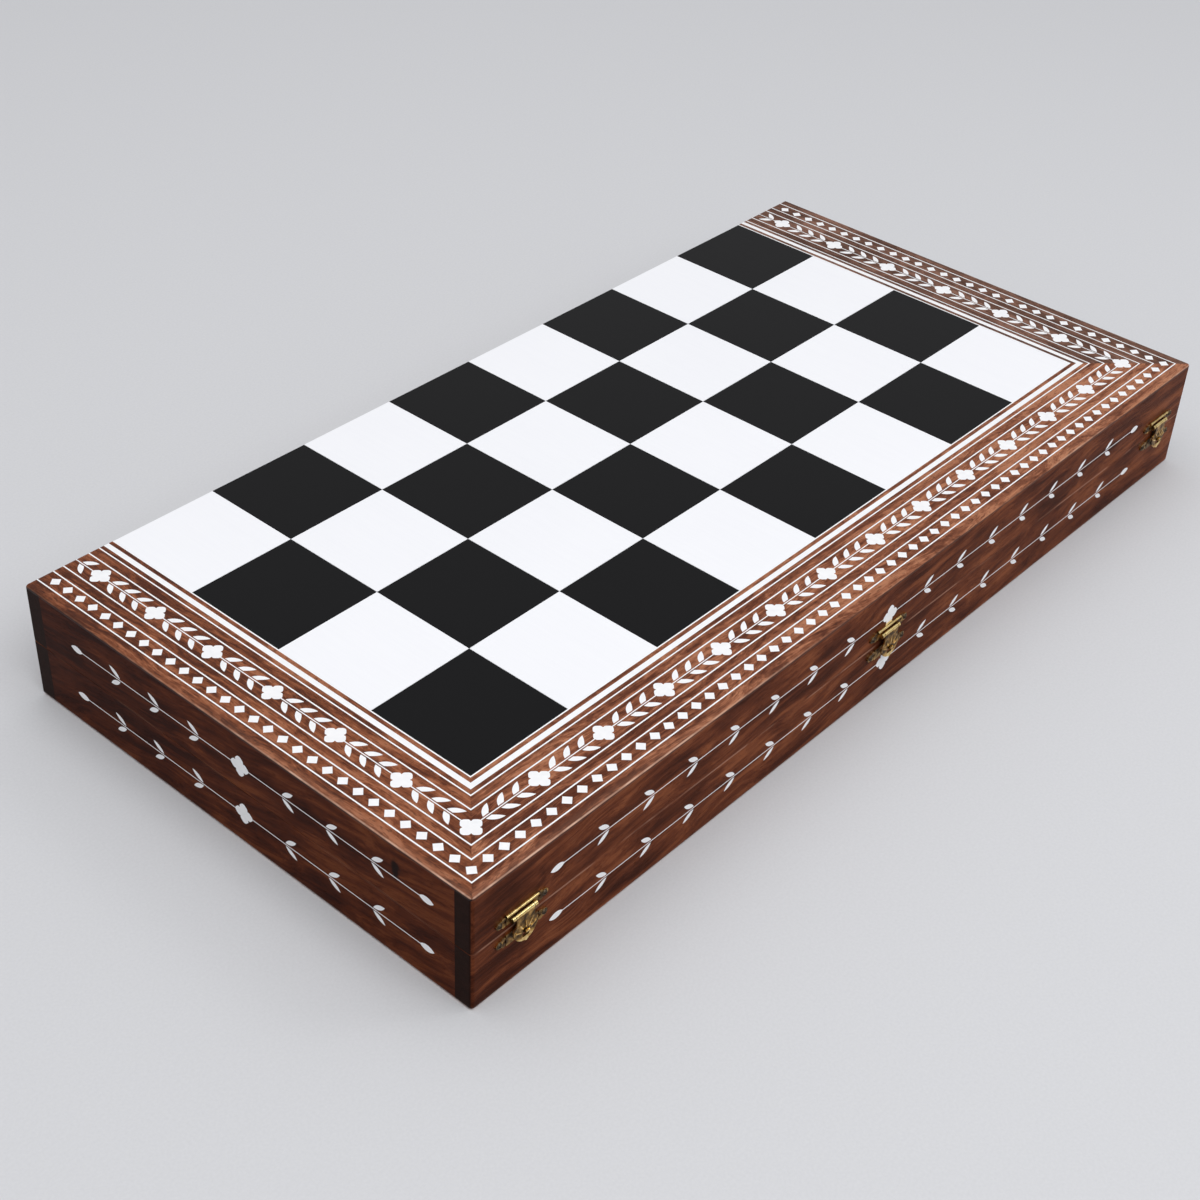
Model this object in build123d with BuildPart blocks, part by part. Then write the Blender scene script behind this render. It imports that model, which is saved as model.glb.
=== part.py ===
from build123d import *
import os
from dataclasses import dataclass
from math import cos, radians, sin

# Folding chess box: two equal trays, hinged along the fold edge and latched in front.
# Millimetres.  +Z is up, +X runs along the latched front, +Y points to the fold edge.
# The origin lies on the resting face, under the middle of the closed box.
# Each tray is drawn in a frame of its own: z = 0 on its playing face, +z towards its rim.

# ---- playing field -----------------------------------------------------------------
square_side = 50.0
files = 8
ranks = 4                    # ranks on each tray
saw_trim = 1.5               # lost from the fold-side rank where the board was sawn in two
tile_seam = 0.06             # glue line between squares
tile_bevel = 0.12

# ---- inlaid border, from the squares outwards, line centre to line centre ----------
line_width = 0.6
first_line = line_width / 2  # the first line lies against the squares
band_channel = 6.65
inner_channel = 4.95
vine_channel = 12.05
outer_channel = 4.75
diamond_channel = 7.5
edge_margin = 5.3
band_width = 2.4
stem_width = 0.45
inlay_depth = 1.0

# ---- ornament ----------------------------------------------------------------------
petal_side = 3.65            # four square petals, each with a rounded tip
petal_root = 0.2             # middle of the flower to the inner corner of a petal
petal_tip_radius = 1.5
petal_notch_radius = 1.0
flower_heart = 3.05          # radius of the disc that joins the petals
flower_spacing = 33.6        # nominal, adjusted so that whole intervals fit the front
leaves_between_flowers = 3
leaf_spacing = 7.5
leaf_gap = 0.7               # middle of the stem to the root edge of a leaf
leaf_root = 2.7              # length of the root edge, along the stem
leaf_advance = 5.8           # how far the tip reaches along the stem and away from it
leaf_rise = 3.75
leaf_back_bulge = 1.05
leaf_front_bulge = 0.25
diamond_side = 3.5
diamond_spacing = 7.75       # nominal, adjusted like the flowers
diamond_shift = 0.25         # from the middle of its channel towards the squares
hand_turn = 6.0              # most that a hand-set diamond is out of square, degrees
cut_margin = 0.5             # bare wood left between a motif and the fold edge
wall_leaf_length = 6.9
wall_leaf_width = 2.15
wall_leaf_angle = 31.0
wall_leaf_gap = 0.7
wall_stem_width = 0.4
wall_leaf_spacing = 24.0     # nominal
bud_length = 7.0
bud_width = 3.1
bud_overlap = 0.7            # how far the stem runs into a bud
bud_distance = 30.0          # last leaf pair to the tip of the bud
wall_vine_drop = 15.4        # playing face to the middle of the wall vine
front_vine_inset = 41.0      # end of the front to the tip of the bud
end_vine_inset = 21.7
front_vine_shift = -3.0      # the vines are a little out of the middle, along +X in front
end_vine_shift = 4.0         # and towards the front at the ends

# ---- trays -------------------------------------------------------------------------
tray_height = 26.95          # playing face to rim
rim_gap = 0.1                # air between the two rims when closed
face_thickness = 1.6         # squares and border planks
panel_thickness = 3.5
rail_thickness = 8.0
panel_seat = 4.0             # how far the panel is let into the rails
panel_fit = 0.1
lining_thickness = 1.0
lining_gap = 0.3
corner_radius = 1.5
arris_radius = 1.2
rim_bevel = 0.12

# ---- hinges ------------------------------------------------------------------------
hinge_inset = 81.5           # end of the box to the middle of an outer hinge
hinge_length = 32.0
hinge_leaf_width = 7.0
hinge_leaf_thickness = 1.0
hinge_standoff = 0.25        # pin axis behind the fold edge
hinge_barrel_radius = 2.2
hinge_pin_radius = 1.0
hinge_knuckles = 5
knuckle_gap = 0.15
barrel_clearance = 0.3
pin_clearance = 0.05
hinge_pin_chamfer = 0.25
hinge_screw_reach = 10.0     # middle of the hinge to a screw
hinge_screw_radius = 0.8
hinge_screw_head_radius = 1.6
hinge_screw_length = 8.0
countersink_angle = 90
screw_slot = 0.4

# ---- latches -----------------------------------------------------------------------
latch_inset = 23.5           # end of the box to the middle of an outer latch
middle_latch_shift = -3.5    # the middle latch goes with the flowers beside it
plate_thickness = 0.7
plate_width = 15.6
ear_reach = 11.0             # middle of the latch to a screw
ear_radius = 1.7
bead_reach = 9.1
bead_radius = 1.05
bead_rise = 1.25
upper_plate_top = 8.1        # heights are from the middle of the parting line
upper_plate_bottom = 3.3
upper_ear_height = 5.4
window_bar = 1.9             # height of the bar above the window of the upper plate
ridge_radius = 0.6
lower_plate_top = -1.4
lower_plate_bottom = -6.6
lower_ear_height = -4.0
latch_pin_height = 4.7
latch_pin_standoff = 1.35
latch_pin_radius = 0.5
latch_barrel_radius = 1.15
latch_barrel_length = 8.8
latch_knuckle_length = 1.4
latch_knuckle_gap = 0.2
hasp_thickness = 0.6
hasp_neck_height = 1.6       # where the hasp starts to widen
hasp_shoulder_height = -1.2
hasp_flank_height = -2.2
hasp_tip_height = -8.0
hasp_shoulder_width = 12.0
hasp_tip_width = 2.6
hasp_tip_rise = 0.8          # tip to the corners beside it
hasp_flare = 0.3             # how far the tail turns away from the box
hasp_tail = 3.3              # height over which it turns
slot_width = 3.4
slot_height = 3.4
slot_corner = 0.7
rib_count = 5                # ribs that fan out above the slot
rib_start = 2.7
rib_length = 2.8
rib_width = 0.6
rib_rise = 0.2
rib_fan = 130                # angle that the fan covers, degrees
hook_height = -3.4
hook_width = 1.8
hook_thickness = 0.7
hook_reach = 3.6            # tip of the hook to the front of the box
hook_rise = 0.9
hook_bend = 0.05             # inner radius of the hook's bend
latch_screw_radius = 0.6
latch_screw_head_radius = 1.15
latch_screw_head_height = 0.75
latch_screw_length = 5.5

# ---- worked out from the sizes above -------------------------------------------------
line_offsets = [first_line]
for channel in (band_channel, inner_channel, vine_channel, outer_channel, diamond_channel):
    line_offsets.append(line_offsets[-1] + channel)
band_offset = (line_offsets[0] + line_offsets[1]) / 2
vine_offset = (line_offsets[2] + line_offsets[3]) / 2
diamond_offset = (line_offsets[4] + line_offsets[5]) / 2 - diamond_shift
border_width = line_offsets[5] + edge_margin

field_length = files * square_side
field_depth = ranks * square_side - saw_trim
board_length = field_length + 2 * border_width
tray_depth = field_depth + border_width
case_height = 2 * tray_height + rim_gap
parting_height = case_height / 2
front_edge = -tray_depth / 2
fold_edge = tray_depth / 2
field_front = front_edge + border_width

inner_length = board_length - 2 * rail_thickness
inner_depth = tray_depth - 2 * rail_thickness
panel_length = inner_length + 2 * (panel_seat - panel_fit)
panel_depth = inner_depth + 2 * (panel_seat - panel_fit)

hinge_axis_y = fold_edge + hinge_standoff
hinge_axis_z = tray_height + rim_gap / 2      # in a tray's own frame
outer_hinge = board_length / 2 - hinge_inset
hinge_spots = {"left": -outer_hinge, "centre": 0.0, "right": outer_hinge}
outer_latch = board_length / 2 - latch_inset
latch_spots = {"left": -outer_latch, "centre": middle_latch_shift, "right": outer_latch}
sides = ("front", "left", "right")


@dataclass
class Tray:
    """One half of the box: its name, its place when closed, what its own ends are called
    and whether its own x runs with the closed box's (1) or against it (-1)."""

    name: str
    place: Location
    side_names: dict
    run: int


base = Tray("base", Location(), {"left": "left", "right": "right"}, 1)
lid = Tray("lid", Location((0, 0, case_height), (0, 180, 0)), {"left": "right", "right": "left"}, -1)
trays = (base, lid)

os.makedirs("parts", exist_ok=True)


def save(piece, title, place=Location()):
    """Put a finished piece in its place, label it and write it as one STEP file."""
    placed = piece.moved(place)
    placed.label = title
    export_step(placed, f"parts/{title}.step")


def save_for_trays(piece, title):
    """Write a piece that is the same in both trays."""
    for tray in trays:
        save(piece, f"{tray.name}_{title}", tray.place)


def wall_plane(side):
    """Plane on an outer wall of a tray: x along the wall, y from the playing face to the rim."""
    along = {"front": (1, 0, 0), "left": (0, -1, 0), "right": (0, 1, 0)}[side]
    outwards = {"front": (0, -1, 0), "left": (-1, 0, 0), "right": (1, 0, 0)}[side]
    distance = tray_depth / 2 if side == "front" else board_length / 2
    return Plane(origin=Vector(*outwards) * distance, x_dir=along, z_dir=outwards)


def section_plane(x=0.0):
    """Plane across a tray at x: its own x is the tray's y, its own y is the tray's z."""
    return Plane(origin=(x, 0, 0), x_dir=(0, 1, 0), z_dir=(1, 0, 0))


# ---- flat shapes of the ornament -----------------------------------------------------
def lens_shape(length, width):
    """Leaf or bud, pointed at both ends, with its root at the origin."""
    with BuildSketch() as lens:
        with BuildLine():
            ThreePointArc((0, 0), (length / 2, width / 2), (length, 0))
            ThreePointArc((length, 0), (length / 2, -width / 2), (0, 0))
        make_face()
    return lens.sketch


def petal_shape():
    """Square petal standing on a corner, with a rounded tip; it points away from the origin."""
    with BuildSketch() as petal:
        with Locations((petal_root + petal_side / 2**0.5, 0)):
            Rectangle(petal_side, petal_side, rotation=45)
        fillet(petal.vertices().sort_by(Axis.X)[-1], petal_tip_radius)
        by_height = petal.vertices().sort_by(Axis.Y)
        fillet([by_height[0], by_height[-1]], petal_notch_radius)
    return petal.sketch


def flower_shape():
    """Four petals on a disc."""
    petal = petal_shape()
    with BuildSketch() as flower:
        Circle(flower_heart)
        with PolarLocations(0, 4):
            add(petal)
    return flower.sketch


def border_leaf_pair():
    """Two leaves beside a stem that runs along x; they grow towards +x."""
    root = (leaf_root, leaf_gap)
    tip = (leaf_advance, leaf_gap + leaf_rise)
    with BuildSketch() as pair:
        with BuildLine():
            Line((0, leaf_gap), root)
            SagittaArc(root, tip, -leaf_front_bulge)
            SagittaArc(tip, (0, leaf_gap), -leaf_back_bulge)
        make_face()
        mirror(about=Plane.XZ)
    return pair.sketch


def wall_leaf_pair():
    """Two pointed leaves on a stem that runs along x; they grow towards +x."""
    leaf = lens_shape(wall_leaf_length, wall_leaf_width)
    with BuildSketch() as pair:
        for turn in (-1, 1):
            with Locations(Location((0, turn * wall_leaf_gap, 0), (0, 0, turn * wall_leaf_angle))):
                add(leaf)
    return pair.sketch


flower = flower_shape()
flower_reach = flower.bounding_box().max.X
leaf_pair = border_leaf_pair()
wall_pair = wall_leaf_pair()
bud = lens_shape(bud_length, bud_width)

# ---- layout of the border ------------------------------------------------------------
vine_run = field_length + 2 * vine_offset
flower_pitch = vine_run / round(vine_run / flower_spacing)
side_vine_run = field_depth + vine_offset
diamond_run = field_length + 2 * diamond_offset
diamond_pitch = diamond_run / round(diamond_run / diamond_spacing)


def row_points(offset, pitch, reach):
    """Centres of a row of motifs along the front and up both sides, corners included."""
    run = field_length + 2 * offset
    side_run = field_depth + offset - reach - cut_margin
    corner_y = field_front - offset
    points = [(-run / 2 + step * pitch, corner_y) for step in range(round(run / pitch) + 1)]
    for step in range(1, int(side_run / pitch) + 1):
        points.append((-run / 2, corner_y + step * pitch))
        points.append((run / 2, corner_y + step * pitch))
    return points


def leaf_distances(run):
    """Distances of the leaf pairs' middles from a corner flower, along a run of the vine."""
    distances = []
    for interval in range(int(run / flower_pitch) + 1):
        for rank in range(leaves_between_flowers):
            shift = (rank - (leaves_between_flowers - 1) / 2) * leaf_spacing
            distance = (interval + 0.5) * flower_pitch + shift
            if distance + leaf_advance / 2 < run - cut_margin:
                distances.append(distance)
    return distances


def leaf_pair_locations():
    """The vine grows down the right side, along the front and up the left side."""
    corner_x = vine_run / 2
    corner_y = field_front - vine_offset
    places = []
    for distance in leaf_distances(side_vine_run):
        places.append(Location((corner_x, corner_y + distance + leaf_advance / 2, 0), (0, 0, -90)))
        places.append(Location((-corner_x, corner_y + distance - leaf_advance / 2, 0), (0, 0, 90)))
    for distance in leaf_distances(vine_run):
        places.append(Location((corner_x - distance + leaf_advance / 2, corner_y, 0), (0, 0, 180)))
    return places


def frame_points(inner, outer):
    """U-shaped outline that runs round three sides of the squares between two offsets."""
    x = field_length / 2
    y = field_front
    return [
        (-x - outer, fold_edge),
        (-x - outer, y - outer),
        (x + outer, y - outer),
        (x + outer, fold_edge),
        (x + inner, fold_edge),
        (x + inner, y - inner),
        (-x - inner, y - inner),
        (-x - inner, fold_edge),
    ]


def plank_points(side):
    """Outline of one mitred border plank."""
    x = field_length / 2
    if side == "front":
        return [
            (-x, field_front),
            (x, field_front),
            (x + border_width, front_edge),
            (-x - border_width, front_edge),
        ]
    sign = -1 if side == "left" else 1
    return [
        (sign * x, field_front),
        (sign * x, fold_edge),
        (sign * (x + border_width), fold_edge),
        (sign * (x + border_width), front_edge),
    ]


# ---- inlay sketches of one tray ------------------------------------------------------
def string_sketch():
    """The thin lines."""
    with BuildSketch() as strings:
        for offset in line_offsets:
            with BuildLine():
                Polyline(*frame_points(offset - line_width / 2, offset + line_width / 2), close=True)
            make_face()
    return strings.sketch


def band_sketch():
    """The broad band next to the squares."""
    with BuildSketch() as band:
        with BuildLine():
            Polyline(*frame_points(band_offset - band_width / 2, band_offset + band_width / 2), close=True)
        make_face()
    return band.sketch


def diamond_sketch():
    """Small squares standing on a corner, each set by hand and so a little out of square."""
    points = row_points(diamond_offset, diamond_pitch, diamond_side / 2**0.5)
    with BuildSketch() as diamonds:
        with Locations(*[Location((x, y, 0), (0, 0, hand_turn * sin(x + 2 * y))) for x, y in points]):
            Rectangle(diamond_side, diamond_side, rotation=45)
    return diamonds.sketch


def flower_sketch():
    """Flowers of the border vine."""
    with BuildSketch() as flowers:
        with Locations(*row_points(vine_offset, flower_pitch, flower_reach)):
            add(flower)
    return flowers.sketch


def vine_sketch():
    """Stem and leaves of the border vine; the stem stops at each flower."""
    with BuildSketch() as vine:
        with BuildLine():
            Polyline(*frame_points(vine_offset - stem_width / 2, vine_offset + stem_width / 2), close=True)
        make_face()
        add(flower_sketch(), mode=Mode.SUBTRACT)
        with Locations(*leaf_pair_locations()):
            add(leaf_pair)
    return vine.sketch


def wall_vine_sketch(side, run):
    """Stem on an outer wall: a flower, leaf pairs outwards from it and a bud at each end."""
    wall_length = board_length if side == "front" else tray_depth
    inset = front_vine_inset if side == "front" else end_vine_inset
    middle = {"front": run * front_vine_shift, "left": end_vine_shift, "right": -end_vine_shift}[side]
    half_vine = wall_length / 2 - inset
    leafy = half_vine - bud_distance
    pairs = max(1, round(leafy / wall_leaf_spacing))
    with BuildSketch(wall_plane(side)) as vine:
        with Locations((middle, wall_vine_drop)):
            Rectangle(2 * (half_vine - bud_length + bud_overlap), wall_stem_width)
            add(flower)
        for heading in (0, 180):
            sign = cos(radians(heading))
            bud_root = middle + sign * (half_vine - bud_length)
            with Locations(Location((bud_root, wall_vine_drop, 0), (0, 0, heading))):
                add(bud)
            for rank in range(1, pairs + 1):
                root = middle + sign * rank * leafy / pairs
                with Locations(Location((root, wall_vine_drop, 0), (0, 0, heading))):
                    add(wall_pair)
    return vine.sketch


# ---- wooden pieces of a tray ---------------------------------------------------------
def tray_form():
    """Outer form of a tray: eased front corners, rounded arris on the playing face."""
    with BuildPart() as form:
        with BuildSketch() as outline:
            Rectangle(board_length, tray_depth)
            fillet(outline.vertices().group_by(Axis.Y)[0], corner_radius)
        extrude(amount=tray_height)
        fillet(form.edges().group_by(Axis.Z)[0].sort_by(Axis.Y)[:-1], arris_radius)
        chamfer(form.edges().group_by(Axis.Z)[-1].sort_by(Axis.Y)[:-1], rim_bevel)
    return form.part


def panel_pocket():
    """Space that the panel takes in the rails, with its clearance."""
    with BuildPart() as pocket:
        with BuildSketch(Plane.XY.offset(face_thickness)):
            Rectangle(panel_length + 2 * panel_fit, panel_depth + 2 * panel_fit)
        extrude(amount=panel_thickness)
    return pocket.part


def make_rail(form, y):
    """Front or back rail: it runs the full length and shows its end grain at both ends."""
    with BuildPart() as rail:
        with BuildSketch(Plane.XY.offset(face_thickness)):
            with Locations((0, y)):
                Rectangle(board_length, rail_thickness)
        extrude(amount=tray_height - face_thickness)
        add(form, mode=Mode.INTERSECT)
        add(panel_pocket(), mode=Mode.SUBTRACT)
    return rail.part


def make_front_rail(tray, form, ear_height):
    """Front rail, with the wall vine's pocket and pilot holes for the latch screws."""
    # The rim is up in the base and down in the lid, so the ears' height changes sign.
    screw_drop = hinge_axis_z + (ear_height if tray is base else -ear_height)
    screw_xs = [x + turn * ear_reach for x in latch_spots.values() for turn in (-1, 1)]
    points = [(tray.run * x, screw_drop) for x in screw_xs]
    with BuildPart() as rail:
        add(make_rail(form, front_edge + rail_thickness / 2))
        extrude(wall_vine_sketch("front", tray.run), amount=-inlay_depth, mode=Mode.SUBTRACT)
        with BuildSketch(wall_plane("front")):
            with Locations(*points):
                Circle(latch_screw_radius)
        extrude(amount=-latch_screw_length, mode=Mode.SUBTRACT)
    save(rail.part, f"{tray.name}_front_rail", tray.place)


def make_back_rail(form):
    """Back rail, let in for the hinge leaves and hollowed for their barrels."""
    with BuildPart() as rail:
        add(make_rail(form, fold_edge - rail_thickness / 2))
        with BuildSketch(Plane.XY.offset(tray_height)):
            with Locations(*[(x, fold_edge - hinge_leaf_width / 2) for x in hinge_spots.values()]):
                Rectangle(hinge_length, hinge_leaf_width)
        extrude(amount=-hinge_leaf_thickness, mode=Mode.SUBTRACT)
        for x in hinge_spots.values():
            with BuildSketch(section_plane(x)):
                with Locations((hinge_axis_y, hinge_axis_z)):
                    Circle(hinge_barrel_radius + barrel_clearance)
            extrude(amount=hinge_length / 2 + barrel_clearance, both=True, mode=Mode.SUBTRACT)
        with BuildSketch(Plane.XY.offset(tray_height - hinge_leaf_thickness)):
            with Locations(*hinge_screw_points(hinge_spots.values())):
                Circle(hinge_screw_radius)
        extrude(amount=-hinge_screw_length, mode=Mode.SUBTRACT)
    save_for_trays(rail.part, "back_rail")


def make_end_rail(form, side):
    """Short wall between the front and back rails."""
    sign = -1 if side == "left" else 1
    with BuildPart() as rail:
        with BuildSketch(Plane.XY.offset(face_thickness)):
            with Locations((sign * (board_length - rail_thickness) / 2, 0)):
                Rectangle(rail_thickness, inner_depth)
        extrude(amount=tray_height - face_thickness)
        add(form, mode=Mode.INTERSECT)
        add(panel_pocket(), mode=Mode.SUBTRACT)
        extrude(wall_vine_sketch(side, 1), amount=-inlay_depth, mode=Mode.SUBTRACT)
    for tray in trays:
        save(rail.part, f"{tray.name}_{tray.side_names[side]}_end_rail", tray.place)


def make_panel():
    """Board under the squares, let into all four rails."""
    with BuildPart() as panel:
        with BuildSketch(Plane.XY.offset(face_thickness)):
            Rectangle(panel_length, panel_depth)
        extrude(amount=panel_thickness)
    save_for_trays(panel.part, "panel")


def make_lining():
    """Felt on the floor of the tray."""
    with BuildPart() as lining:
        with BuildSketch(Plane.XY.offset(face_thickness + panel_thickness)):
            Rectangle(inner_length - 2 * lining_gap, inner_depth - 2 * lining_gap)
        extrude(amount=lining_thickness)
    save_for_trays(lining.part, "lining")


def make_plank(form, side, inlays):
    """Mitred border plank with its inlay pockets."""
    with BuildPart() as plank:
        with BuildSketch():
            with BuildLine():
                Polyline(*plank_points(side), close=True)
            make_face()
        extrude(amount=face_thickness)
        add(form, mode=Mode.INTERSECT)
        extrude(inlays, amount=inlay_depth, clean=False, mode=Mode.SUBTRACT)
    for tray in trays:
        save(plank.part, f"{tray.name}_border_{tray.side_names.get(side, side)}", tray.place)


def make_squares(title, parity):
    """Squares of one colour; the fold-side rank is shorter by the saw cut."""
    with BuildPart() as squares:
        with BuildSketch():
            for rank in range(ranks):
                trim = saw_trim if rank == ranks - 1 else 0
                y = field_front + (rank + 0.5) * square_side - trim / 2
                own_files = [file for file in range(files) if (file + rank) % 2 == parity]
                xs = [(file + 0.5 - files / 2) * square_side for file in own_files]
                with Locations(*[(x, y) for x in xs]):
                    Rectangle(square_side - tile_seam, square_side - trim - tile_seam)
        extrude(amount=face_thickness)
        chamfer(squares.edges().group_by(Axis.Z)[0], tile_bevel)
    save_for_trays(squares.part, f"{title}_squares")


def make_inlay(title, sketch):
    """Inlay pieces, as deep as their pockets and flush with the wood."""
    with BuildPart() as inlay:
        extrude(sketch, amount=inlay_depth)
    save_for_trays(inlay.part, title)


def make_wall_vines(tray):
    """Inlaid vines on the three outer walls of a tray."""
    with BuildPart() as vines:
        for side in sides:
            extrude(wall_vine_sketch(side, tray.run), amount=-inlay_depth)
    save(vines.part, f"{tray.name}_wall_vines", tray.place)


# ---- hinges --------------------------------------------------------------------------
def hinge_screw_points(spots):
    """Places of the hinge screws on a rim."""
    plate_edge = hinge_axis_y - hinge_barrel_radius - barrel_clearance
    y = (fold_edge - hinge_leaf_width + plate_edge) / 2
    return [(x + turn * hinge_screw_reach, y) for x in spots for turn in (-1, 1)]


def make_hinge_leaves(tray, knuckle_ranks):
    """Leaves let into a rim, each with the knuckles that it carries."""
    pitch = hinge_length / hinge_knuckles
    width = pitch - knuckle_gap
    centres = [(rank + 0.5) * pitch - hinge_length / 2 for rank in knuckle_ranks]
    plate_back = hinge_axis_y - hinge_barrel_radius - barrel_clearance
    plate_front = fold_edge - hinge_leaf_width
    rim = Plane.XY.offset(tray_height)
    with BuildPart() as leaf:
        with BuildSketch(rim):
            with Locations((0, (plate_front + plate_back) / 2)):
                Rectangle(hinge_length, plate_back - plate_front)
            with Locations(*[(centre, (plate_back + hinge_axis_y) / 2) for centre in centres]):
                Rectangle(width, hinge_axis_y - plate_back)
        extrude(amount=-hinge_leaf_thickness)
        for centre in centres:
            with BuildSketch(section_plane(centre)):
                with Locations((hinge_axis_y, hinge_axis_z)):
                    Circle(hinge_barrel_radius)
            extrude(amount=width / 2, both=True)
        with BuildSketch(section_plane()):
            with Locations((hinge_axis_y, hinge_axis_z)):
                Circle(hinge_pin_radius + pin_clearance)
        extrude(amount=hinge_length, both=True, mode=Mode.SUBTRACT)
        with Locations(rim):
            with Locations(*hinge_screw_points([0])):
                CounterSinkHole(
                    hinge_screw_radius,
                    hinge_screw_head_radius,
                    depth=2 * hinge_leaf_thickness,
                    counter_sink_angle=countersink_angle,
                )
    for spot, x in hinge_spots.items():
        save(leaf.part, f"hinge_{spot}_{tray.name}_leaf", Location((x, 0, 0)) * tray.place)


def make_hinge_pins():
    """Steel pins through the knuckles."""
    with BuildPart() as pin:
        with BuildSketch(section_plane()):
            with Locations((hinge_axis_y, hinge_axis_z)):
                Circle(hinge_pin_radius)
        extrude(amount=hinge_length / 2, both=True)
        chamfer(pin.edges().filter_by(GeomType.CIRCLE), hinge_pin_chamfer)
    for spot, x in hinge_spots.items():
        save(pin.part, f"hinge_{spot}_pin", Location((x, 0, 0)))


def make_hinge_screws():
    """Countersunk screws, heads flush with the rim."""
    taper = hinge_screw_head_radius - hinge_screw_radius
    bottom = -hinge_leaf_thickness - hinge_screw_length
    with BuildPart() as screw:
        with BuildSketch(Plane.XZ):
            with BuildLine():
                Polyline(
                    (0, 0),
                    (hinge_screw_head_radius, 0),
                    (hinge_screw_radius, -taper),
                    (hinge_screw_radius, bottom + 2 * hinge_screw_radius),
                    (0, bottom),
                    close=True,
                )
            make_face()
        revolve(axis=Axis.Z)
        with BuildSketch():
            Rectangle(2 * hinge_screw_head_radius, screw_slot)
        extrude(amount=-screw_slot, mode=Mode.SUBTRACT)
    with BuildPart() as screws:
        with Locations(Plane.XY.offset(tray_height)):
            with Locations(*hinge_screw_points(hinge_spots.values())):
                add(screw.part)
    save_for_trays(screws.part, "hinge_screws")


# ---- latches, drawn on the middle of the front and moved to their places ---------------
latch_front = Plane(origin=(0, front_edge, parting_height), x_dir=(1, 0, 0), z_dir=(0, -1, 0))


def latch_section(x=0.0):
    """Plane across a latch: x away from the box, y up from the parting line."""
    return Plane(origin=(x, front_edge, parting_height), x_dir=(0, -1, 0), z_dir=(-1, 0, 0))


def save_latch_piece(piece, title):
    """Write the three copies of a latch piece."""
    for spot, x in latch_spots.items():
        save(piece, f"latch_{spot}_{title}", Location((x, 0, 0)))


def plate_shape(top, bottom, ear_height):
    """Latch plate with a scalloped ear at each end."""
    with BuildSketch() as plate:
        with Locations((0, (top + bottom) / 2)):
            Rectangle(plate_width, top - bottom)
        for turn in (-1, 1):
            with Locations((turn * ear_reach, ear_height)):
                Circle(ear_radius)
            with Locations(
                (turn * bead_reach, ear_height + bead_rise),
                (turn * bead_reach, ear_height - bead_rise),
            ):
                Circle(bead_radius)
        with Locations((-ear_reach, ear_height), (ear_reach, ear_height)):
            Circle(latch_screw_radius, mode=Mode.SUBTRACT)
    return plate.sketch


def make_upper_plates():
    """Plates on the lid with the outer knuckles of the hasp and a window for its barrel."""
    window_width = latch_barrel_length + 2 * latch_knuckle_gap
    window_top = upper_plate_top - window_bar
    window_reach = 2 * latch_barrel_radius
    knuckle_middle = (window_width + latch_knuckle_length) / 2
    with BuildPart() as plate:
        with BuildSketch(latch_front):
            add(plate_shape(upper_plate_top, upper_plate_bottom, upper_ear_height))
            with Locations((0, window_top - window_reach)):
                Rectangle(window_width, 2 * window_reach, mode=Mode.SUBTRACT)
        extrude(amount=plate_thickness)
        with BuildSketch(latch_section()):
            with Locations((plate_thickness, (upper_plate_top + window_top) / 2)):
                Circle(ridge_radius)
                Rectangle(
                    2 * plate_thickness,
                    2 * ridge_radius,
                    align=(Align.MAX, Align.CENTER),
                    mode=Mode.SUBTRACT,
                )
        extrude(amount=plate_width / 2, both=True)
        for turn in (-1, 1):
            with BuildSketch(latch_section(turn * knuckle_middle)):
                with Locations((latch_pin_standoff, latch_pin_height)):
                    Circle(latch_barrel_radius)
                with Locations((0, latch_pin_height)):
                    Rectangle(latch_pin_standoff, latch_barrel_radius, align=(Align.MIN, Align.CENTER))
            extrude(amount=latch_knuckle_length / 2, both=True)
        with BuildSketch(latch_section()):
            with Locations((latch_pin_standoff, latch_pin_height)):
                Circle(latch_pin_radius + pin_clearance)
        extrude(amount=plate_width, both=True, mode=Mode.SUBTRACT)
    save_latch_piece(plate.part, "upper_plate")


def make_lower_plates():
    """Plates on the base with the hook that the hasp drops over."""
    reach = hook_reach - hook_thickness / 2
    with BuildPart() as plate:
        with BuildSketch(latch_front):
            add(plate_shape(lower_plate_top, lower_plate_bottom, lower_ear_height))
        extrude(amount=plate_thickness)
        with BuildSketch(latch_section()):
            with BuildLine():
                FilletPolyline(
                    (plate_thickness / 2, hook_height),
                    (reach, hook_height),
                    (reach, hook_height + hook_rise),
                    radius=hook_thickness / 2 + hook_bend,
                )
            trace(line_width=hook_thickness)
        extrude(amount=hook_width / 2, both=True)
    save_latch_piece(plate.part, "lower_plate")


def hasp_outline():
    """Shield-shaped front view of a hasp."""
    barrel_top = latch_pin_height + latch_barrel_radius
    neck = (latch_barrel_length / 2, hasp_neck_height)
    shoulder = (hasp_shoulder_width / 2, hasp_shoulder_height)
    flank = (hasp_shoulder_width / 2, hasp_flank_height)
    tip = (hasp_tip_width / 2, hasp_tip_height + hasp_tip_rise)
    neck_bend = (neck[1] + shoulder[1]) / 2
    flank_bend = (flank[1] + tip[1]) / 2
    with BuildSketch(latch_front) as outline:
        with BuildLine():
            Line((0, barrel_top), (neck[0], barrel_top))
            Line((neck[0], barrel_top), neck)
            Bezier(neck, (neck[0], neck_bend), (shoulder[0], neck_bend), shoulder)
            Line(shoulder, flank)
            Bezier(flank, (flank[0], flank_bend), (tip[0] + hasp_tip_width / 2, tip[1]), tip)
            Line(tip, (0, hasp_tip_height))
            mirror(about=Plane.YZ)
        make_face()
    return outline.sketch


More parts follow.
